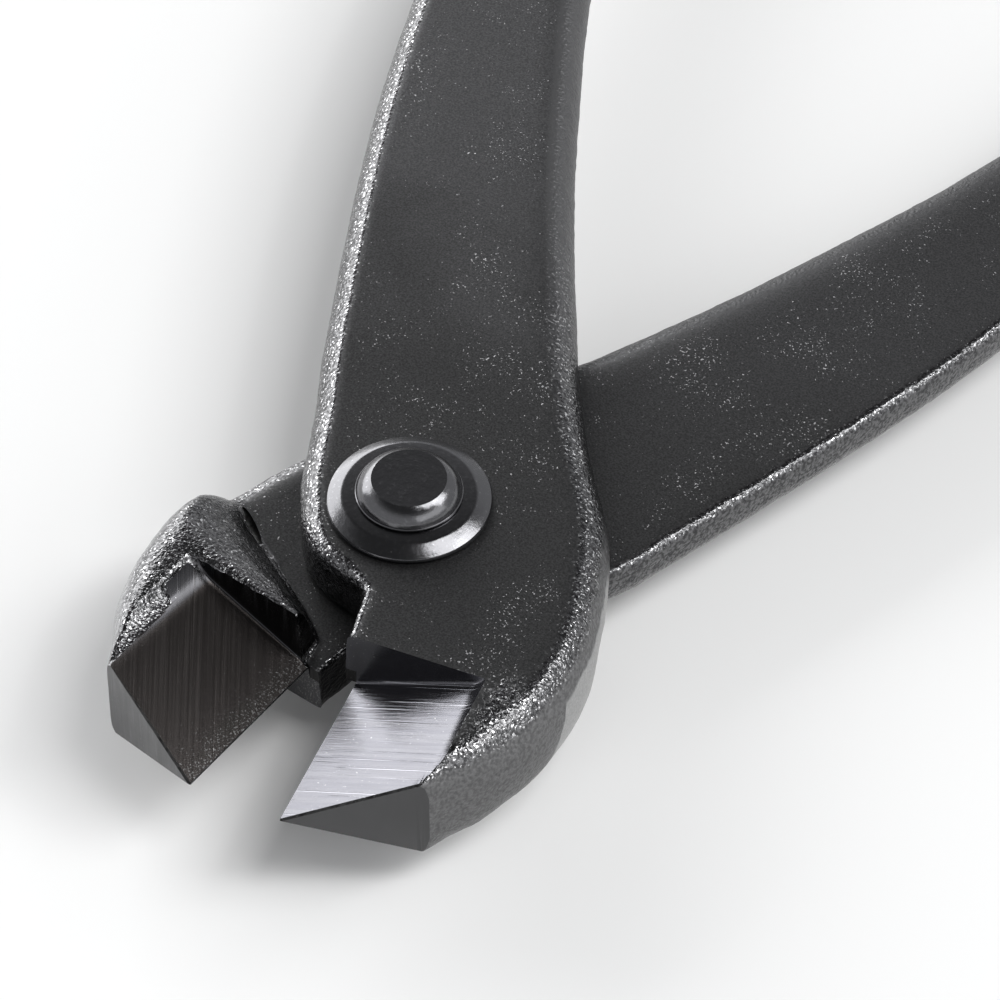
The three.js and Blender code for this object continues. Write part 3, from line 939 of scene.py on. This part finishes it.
    def pocket_tool(self, side: int) -> bpy.types.Object:
        """Makes the wheel's path for one bevel, with its back wall and its fillet at the rim.

        Args:
            side: 1 for the outer face, -1 for the far one.

        Returns:
            The body to cut away.
        """
        columns, rows = 34, 16
        bpy.ops.mesh.primitive_grid_add(x_subdivisions=columns, y_subdivisions=rows, size=2)
        tool = bpy.context.object
        tool.name = "pocket_tool"
        floor = [(vertex.co.x, vertex.co.y) for vertex in tool.data.vertices]
        for vertex, (across, along) in zip(tool.data.vertices, floor):
            vertex.co = self.pocket_point((across + 1) / 2, (along + 1) / 2) * MM
        bpy.ops.object.mode_set(mode="EDIT")
        bpy.ops.mesh.select_all(action="SELECT")
        bpy.ops.mesh.extrude_region_move(TRANSFORM_OT_translate={"value": (0, 0, self.thickness * MM)})
        bpy.ops.object.mode_set(mode="OBJECT")
        top = self.thickness + self.spare
        wall = -self.back_wall_reach - self.back_wall_lean + self.clean_up
        for vertex in tool.data.vertices[len(floor):]:
            at_wall = vertex.co.y > (wall - self.wall_fillet / 4) * MM
            vertex.co.z = top * MM
            if at_wall:
                vertex.co.y = (wall + self.back_wall_lean * top / self.thickness) * MM
        Bench.face_outward(tool)
        if side < 0:
            Bench.place(tool, Matrix.Scale(-1, 4, (0, 0, 1)))
        return tool

    def pocket_point(self, across: float, along: float) -> Vector:
        """Gives a point of the bevel's floor.

        Args:
            across: The share of the way from the cutting edge's side to the rim.
            along: The share of the way from the tip to the back wall.

        Returns:
            The point, in millimetres in the lever's frame.
        """
        grind = self.grind
        rim = grind.pocket_width + self.clean_up
        bend = rim - grind.pocket_fillet
        if across < 0.5:
            x = -self.spare + (bend + self.spare) * across * 2
            curl = 0.0
        else:
            curl = across * 2 - 1
            x = bend + grind.pocket_fillet * curl
        tip = -self.jaw_reach - self.spare
        near_wall = -self.back_wall_reach - self.wall_fillet * 2
        foot = 0.0
        if along < 0.5:
            y = tip + (near_wall - tip) * along * 2
        else:
            foot = along * 2 - 1
            y = near_wall
        share = (y + self.jaw_reach) / (self.jaw_reach - self.back_wall_reach)
        share = min(1.0, max(0.0, share))
        rise = self.bevel_rise + (grind.inner_rise - self.bevel_rise) * share
        z = self.floor_height(x, rise) + grind.fillet_lift * share * curl**grind.fillet_power
        z += self.wall_fillet * (1 - math.sqrt(1 - foot**2)) - self.clean_up
        lean = self.back_wall_lean * (1 - z / self.thickness)
        wall = -self.back_wall_reach - lean + self.clean_up
        y += (wall - near_wall) * math.sin(foot * math.pi / 2) if foot else 0.0
        return Vector((x, y, z))

    def half_space(self, name: str, point: Vector, normal: Vector) -> bpy.types.Object:
        """Makes a large block that takes off all beyond a plane.

        Args:
            name: The name of the block.
            point: A point on the plane.
            normal: The plane's normal, toward what is taken off.

        Returns:
            The block.
        """
        size = 8 * self.thickness
        bpy.ops.mesh.primitive_cube_add(size=size * MM, location=(0, 0, size * MM / 2))
        block = bpy.context.object
        block.name = name
        turn = normal.to_track_quat("Z", "Y").to_matrix().to_4x4()
        Bench.place(block, Matrix.Translation(point * MM) @ turn)
        return block

    def end_normal(self) -> Vector:
        """Gives the way that the end face looks."""
        slant = math.radians(self.grind.end_slant)
        return Vector((math.sin(slant), -math.cos(slant), 0))

    def tip_point(self) -> Vector:
        """Gives the point of the jaw's tip on the cutting edge."""
        return Vector((self.edge_setback, -self.jaw_reach, 0))

    def end_tool(self) -> bpy.types.Object:
        """Makes the block that grinds the slanted end face."""
        normal = self.end_normal()
        return self.half_space("end_tool", self.tip_point() - normal * self.clean_up, normal)

    def break_tool(self, side: int) -> bpy.types.Object:
        """Makes the bar that breaks the edge between a bevel and the end face.

        Args:
            side: 1 for the outer face, -1 for the far one.

        Returns:
            The bar, which stops short of the rim.
        """
        slope = math.atan2(self.bevel_rise, self.bevel_run)
        bevel_normal = Vector((-math.sin(slope), 0, side * math.cos(slope)))
        normal = (bevel_normal + self.end_normal()).normalized()
        along = bevel_normal.cross(self.end_normal()).normalized() * side
        along = along if along.x > 0 else -along
        length = (self.grind.pocket_width - self.edge_land) / along.x
        across = normal.cross(along)
        corner = self.tip_point() + Vector((0, 0, side * self.edge_land / 2))
        face = corner - normal * (self.edge_break + self.clean_up)
        corners = {}
        for x, y, z in ((x, y, z) for x in (-1, 1) for y in (-1, 1) for z in (-1, 1)):
            reach = along * (length if x > 0 else -self.spare)
            corners[x, y, z] = face + reach + across * (y * self.spare / 2) + normal * (z + 1) * self.spare / 2
        return Bench.block("break_tool", corners)


@dataclass
class TurnedPiece:
    """A round piece about the pivot axis, turned from a profile."""

    node: str
    body: str
    finish: TurnedFinish
    steps: int = 160
    bevel_steps: int = 3

    def profile(self) -> list[tuple[float, float]]:
        """Gives the profile as radii and heights in metres, from the axis or bore and round."""
        raise NotImplementedError

    def closed(self) -> bool:
        """Says whether the profile is a ring that closes on itself."""
        return False

    def build(self) -> bpy.types.Object:
        """Turns the piece on the lathe.

        Returns:
            The finished piece, riding on its body.
        """
        points = self.profile()
        bpy.ops.mesh.primitive_plane_add(size=1)
        piece = bpy.context.object
        piece.name = f"{self.node}_turned"
        piece.data.name = piece.name
        bpy.ops.object.mode_set(mode="EDIT")
        bpy.ops.mesh.select_all(action="SELECT")
        bpy.ops.mesh.delete(type="EDGE_FACE")
        bpy.ops.mesh.select_all(action="SELECT")
        bpy.ops.mesh.merge(type="CENTER")
        bpy.ops.transform.translate(value=(points[0][0], 0, points[0][1]))
        for first, second in zip(points, points[1:]):
            step = (second[0] - first[0], 0, second[1] - first[1])
            bpy.ops.mesh.extrude_vertices_move(TRANSFORM_OT_translate={"value": step})
        bpy.ops.mesh.select_all(action="SELECT")
        bpy.ops.mesh.spin(steps=self.steps, angle=math.tau, center=(0, 0, 0), axis=(0, 0, 1))
        bpy.ops.mesh.select_all(action="SELECT")
        bpy.ops.mesh.remove_doubles(threshold=MM * 0.001)
        bpy.ops.mesh.normals_make_consistent(inside=False)
        bpy.ops.object.mode_set(mode="OBJECT")
        piece.data.materials.append(self.finish.material(f"{self.node}_polish"))
        Bench.settle(piece, 28)
        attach(piece, self.body)
        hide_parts(self.node)
        return piece


def arc(centre: tuple[float, float], radius: float, start: float, end: float, steps: int) -> list[tuple[float, float]]:
    """Gives points on an arc.

    Args:
        centre: The arc's centre.
        radius: Its radius.
        start: The angle of its first point, in degrees.
        end: The angle of its last point, in degrees.
        steps: How many steps it takes.

    Returns:
        The points, both ends among them.
    """
    points = []
    for step in range(steps + 1):
        angle = math.radians(start + (end - start) * step / steps)
        points.append((centre[0] + radius * math.cos(angle), centre[1] + radius * math.sin(angle)))
    return points


@dataclass
class Washer(TurnedPiece):
    """A washer with a chamfered rim, its broken edges and its bore."""

    face: Face = Face.UP
    bore: float = 3.1
    flat_radius: float = 5.3
    rim_height: float = 0.35
    edge_round: float = 0.14

    def profile(self) -> list[tuple[float, float]]:
        """Gives the washer's section, from the bore's foot and round to it again."""
        low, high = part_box(self.node)
        outer = high.x
        seat, top = (low.z, high.z) if self.face is Face.UP else (high.z, low.z)
        way = self.face.value
        soft = self.edge_round * MM
        rim = seat + way * self.rim_height * MM
        return [
            (self.bore * MM, seat),
            (outer - soft, seat),
            (outer, seat + way * soft),
            (outer, rim - way * soft / 2),
            (outer - soft / 2, rim + way * soft / 2),
            (self.flat_radius * MM + soft, top - way * soft / 2),
            (self.flat_radius * MM, top - way * soft / 8),
            (self.flat_radius * MM - soft, top),
            (self.bore * MM, top),
            (self.bore * MM, seat),
        ]


@dataclass
class Rivet(TurnedPiece):
    """The rivet: a plain shank with a low head at each end, its flank swelling to a flat top."""

    shank: float = 3.0
    top_radius: float = 2.98
    foot_height: float = 0.25
    groove: float = 0.14
    flank_start: float = 10.0
    flank_end: float = 55.0
    steps_round: int = 12

    def half(self) -> list[tuple[float, float]]:
        """Gives the upper half of the section, from the shank's middle to the top's centre."""
        low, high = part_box(self.node)
        washer_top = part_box("upper_washer")[1].z
        base, top = high.x, high.z
        middle = (low.z + high.z) / 2
        seat = washer_top + (high.z - washer_top) * 0.03
        foot = seat + self.foot_height * MM
        start, end = math.radians(self.flank_start), math.radians(self.flank_end)
        width = (base - (self.top_radius + self.groove) * MM) / (math.cos(start) - math.cos(end))
        height = (top - foot) / (math.sin(end) - math.sin(start))
        flank = []
        for step in range(self.steps_round + 1):
            turn = start + (end - start) * step / self.steps_round
            radius = self.top_radius * MM + width * (math.cos(turn) - math.cos(end))
            flank.append((radius, foot + height * (math.sin(turn) - math.sin(start))))
        soft = self.foot_height * MM / 4
        return [
            (self.shank * MM, middle),
            (self.shank * MM, seat),
            (base - soft, seat),
            (base, seat + soft),
            (base, foot - soft),
            (base - soft, foot),
            (base - self.groove * MM * 0.8, foot),
            *flank,
            (self.top_radius * MM * 0.5, top),
            (0.0, top),
        ]

    def profile(self) -> list[tuple[float, float]]:
        """Gives the whole section, from the lower head's centre to the upper one's."""
        low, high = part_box(self.node)
        upper = self.half()
        lower = [(radius, low.z + high.z - height) for radius, height in reversed(upper)]
        return [*lower, *upper[1:]]


@dataclass(frozen=True)
class SoftLamp:
    """A soft panel that lights the tool from one way."""

    name: str
    azimuth: float
    elevation: float
    width: float
    height: float
    radiance: float
    distance: float = 2.4

    def build(self, aim: Vector) -> None:
        """Hangs the panel so that it faces the tool.

        Args:
            aim: The point that it faces, in metres.
        """
        turn, lift = math.radians(self.azimuth), math.radians(self.elevation)
        way = Vector((math.cos(turn) * math.cos(lift), math.sin(turn) * math.cos(lift), math.sin(lift)))
        data = bpy.data.lights.new(self.name, "AREA")
        data.shape = "RECTANGLE"
        data.size = self.width
        data.size_y = self.height
        data.energy = self.radiance * math.pi * self.width * self.height
        lamp = bpy.data.objects.new(self.name, data)
        lamp.location = aim + way * self.distance
        lamp.rotation_euler = (-way).to_track_quat("-Z", "Y").to_euler()
        bpy.context.scene.collection.objects.link(lamp)


@dataclass
class Studio:
    """The pale floor, the soft lamps and the camera at the photograph's angle."""

    azimuth: float = 29.73
    elevation: float = 48.5
    distance: float = 450.0
    focal_pixels: float = 5662.0
    image_pixels: float = 1000.0
    target: tuple[float, float, float] = (3.87, 7.52, 7.8)
    floor_size: float = 12.0
    floor_colour: tuple[float, float, float] = (0.9, 0.9, 0.896)
    low_light: float = 0.68
    high_light: float = 0.1
    lamps: tuple[SoftLamp, ...] = (
        SoftLamp("left_panel", 158.0, 17.0, 2.8, 1.5, 4.1),
        SoftLamp("back_panel", 31.0, 44.0, 0.95, 0.95, 6.9),
        SoftLamp("top_panel", 12.0, 64.0, 1.0, 1.0, 6.2),
        SoftLamp("right_panel", -12.0, 27.0, 2.8, 1.1, 1.3),
    )

    def build(self) -> None:
        """Sets up the whole studio."""
        scene = bpy.context.scene
        scene.view_settings.view_transform = "Standard"
        self.build_camera(scene)
        self.build_floor()
        self.build_world(scene)
        for lamp in self.lamps:
            lamp.build(Vector(self.target) * MM)

    def build_camera(self, scene: bpy.types.Scene) -> None:
        """Sets the camera at the photograph's viewing angle."""
        turn, lift = math.radians(self.azimuth), math.radians(self.elevation)
        back = Vector((math.sin(turn) * math.cos(lift), -math.cos(turn) * math.cos(lift), math.sin(lift)))
        data = bpy.data.cameras.new("camera")
        data.sensor_width = 36.0
        data.lens = data.sensor_width * self.focal_pixels / self.image_pixels
        data.clip_start = 0.01
        camera = bpy.data.objects.new("camera", data)
        camera.location = (Vector(self.target) + back * self.distance) * MM
        camera.rotation_euler = (math.pi / 2 - lift, 0, turn)
        scene.collection.objects.link(camera)
        scene.camera = camera

    def build_floor(self) -> None:
        """Lays the pale floor that the tool lies on."""
        bpy.ops.mesh.primitive_plane_add(size=self.floor_size)
        floor = bpy.context.object
        floor.name = "floor"
        tree = Tree("floor_paper")
        tint = tuple(value - 0.01 for value in self.floor_colour)
        tree.feed(tree.shader.inputs["Base Color"], tree.tint(tree.noise(tree.place(), 0.02, 2.0), self.floor_colour, tint))
        tree.shader.inputs["Roughness"].default_value = 0.9
        tree.shader.inputs["Specular IOR Level"].default_value = 0.1
        floor.data.materials.append(tree.material)

    def build_world(self, scene: bpy.types.Scene) -> None:
        """Fills the room with dim light, a little brighter toward the walls."""
        world = bpy.data.worlds.new("room")
        world.use_nodes = True
        nodes, links = world.node_tree.nodes, world.node_tree.links
        background = nodes["Background"]
        background.inputs["Color"].default_value = (0.97, 0.98, 1.0, 1.0)
        way = nodes.new("ShaderNodeTexCoord")
        parts = nodes.new("ShaderNodeSeparateXYZ")
        level = nodes.new("ShaderNodeMapRange")
        level.interpolation_type = "SMOOTHSTEP"
        level.inputs["From Min"].default_value = 0.45
        level.inputs["From Max"].default_value = 0.85
        level.inputs["To Min"].default_value = self.low_light
        level.inputs["To Max"].default_value = self.high_light
        links.new(way.outputs["Generated"], parts.inputs[0])
        links.new(parts.outputs[2], level.inputs["Value"])
        links.new(level.outputs["Result"], background.inputs["Strength"])
        scene.world = world


BURR = GroundFinish(
    colour=(0.035, 0.034, 0.034),
    mark_colour=(0.1, 0.1, 0.1),
    roughness=0.4,
    streaks=Streaks.UPRIGHT,
    streak_depth=0.02,
    wall_shade=0.4,
)
# The two bevels are ground alike; their two tones are partly painted: the upper one paler with many bright lines, a
# painted reflection of the lamp on the left that it faces, the lower one darker, painted shade.
BRIGHT_BEVEL = GroundFinish(
    colour=(0.118, 0.118, 0.131),
    mark_colour=(0.14, 0.14, 0.152),
    roughness=0.2,
    streaks=Streaks.ACROSS,
    streak_depth=0.018,
    cloud=0.15,
    line_share=0.9,
    wall_shade=0.45,
)
DARK_BEVEL = GroundFinish(
    colour=(0.059, 0.053, 0.051),
    mark_colour=(0.067, 0.061, 0.059),
    roughness=0.25,
    streaks=Streaks.ACROSS,
    streak_depth=0.006,
    cloud=0.15,
    line_share=0.1,
    wall_shade=1.2,
    dust_gain=4.0,
    dust_least=0.74,
    edge_dust=0.16,
    slant=-53.0,
    broad_per_mm=4.0,
    fillet_colour=(0.05, 0.05, 0.053),
)
DARK_END = GroundFinish(
    colour=(0.084, 0.084, 0.086),
    mark_colour=(0.087, 0.087, 0.089),
    roughness=0.42,
    streaks=Streaks.UPRIGHT,
    streak_depth=0.001,
    cloud=0.1,
    line_share=0.0,
    dust_least=1.0,
)
PALE_END = GroundFinish(
    colour=(0.115, 0.115, 0.117),
    mark_colour=(0.155, 0.155, 0.157),
    roughness=0.36,
    streaks=Streaks.UPRIGHT,
    streak_depth=0.006,
)

UPPER_SKIN = ForgedFinish()
LOWER_SKIN = ForgedFinish(
    glint_colour=(0.62, 0.62, 0.63),
    glint_least=0.64,
    head_colour=(0.06, 0.06, 0.061),
    handle_colour=(0.075, 0.075, 0.077),
    calm_colour=(0.075, 0.075, 0.077),
    # Painted reflection: the lower lever's jaw walls are painted pale, standing in for the bright lamp on the left
    # that they face.
    wall_colour=(0.42, 0.42, 0.43),
    wall_roughness=0.2,
    wall_slope=0.8,
    wall_grain=0.75,
)

UPPER_GRIND = Grind(
    turn=7.3,
    face=Face.UP,
    end_slant=23.6,
    pocket_width=10.8,
    pocket_fillet=1.1,
    fillet_lift=0.45,
    fillet_power=2.2,
    inner_rise=3.9,
    bevel=BRIGHT_BEVEL,
    end=DARK_END,
)
LOWER_GRIND = Grind(
    turn=-7.3,
    face=Face.DOWN,
    end_slant=16.8,
    pocket_width=11.5,
    pocket_fillet=2.3,
    fillet_lift=1.15,
    fillet_power=3.0,
    inner_rise=3.05,
    bevel=DARK_BEVEL,
    end=PALE_END,
    swell=0.35,
    crease=(12.7, -6.15, 32.5),
)


def main() -> None:
    """Builds the cutter in order: levers, rivet, washers, then the studio."""
    logging.basicConfig(level=logging.INFO, format="%(message)s")
    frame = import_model()
    for lever in (
        Lever("upper_lever", "upper_body", UPPER_GRIND, UPPER_SKIN),
        Lever("lower_lever", "lower_body", LOWER_GRIND, LOWER_SKIN, inner_fall=0.6),
    ):
        piece = lever.build(frame["nodes"][lever.node])
        LOG.info("%s: %d faces", piece.name, len(piece.data.polygons))
    polish = TurnedFinish()
    for turned in (
        Rivet("pivot_rivet", "lower_body", polish),
        Washer("upper_washer", "lower_body", polish, face=Face.UP),
        Washer("lower_washer", "lower_body", polish, face=Face.DOWN),
    ):
        piece = turned.build()
        LOG.info("%s: %d faces", piece.name, len(piece.data.polygons))
    Studio().build()


if __name__ == "__main__":
    main()
